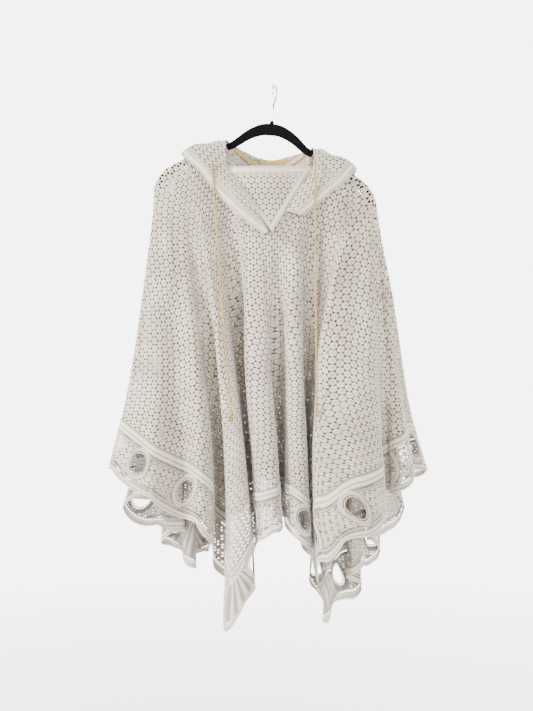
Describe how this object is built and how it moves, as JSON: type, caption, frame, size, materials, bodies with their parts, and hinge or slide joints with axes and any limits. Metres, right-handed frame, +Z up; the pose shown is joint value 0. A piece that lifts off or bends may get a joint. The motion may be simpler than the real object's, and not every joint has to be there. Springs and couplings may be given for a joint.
{
  "type": "lace poncho on hanger",
  "caption": "Hooded lace poncho with scalloped eyelet borders and a drawstring, hanging on a slim velvet hanger with a wire hook",
  "frame": {"origin": "inside the top of the hook's loop, where a rail would carry it", "axes": "+Z up, the poncho's front toward -Y, the wearer's right arm toward -X"},
  "size_m": [0.6302, 0.4025, 1.0979],
  "materials": {
    "lace": "matte guipure lace",
    "tape": "satin neck tape and plain label",
    "cord": "round cotton drawstring",
    "tip_metal": "soft gold",
    "velvet": "flocked velvet",
    "hook_metal": "polished wire"
  },
  "bodies": {
    "root": {"poncho_front": "lace", "poncho_back": "lace", "border_front": "lace", "border_right": "lace", "border_back": "lace", "border_left": "lace", "hood": "lace", "neck_inset": "lace", "neck_tape": "tape", "neck_label": "tape", "cord_left": "cord", "cord_right": "cord", "cord_tip_left": "tip_metal", "cord_tip_right": "tip_metal", "hanger": "velvet", "hook": "hook_metal"}
  },
  "joints": []
}
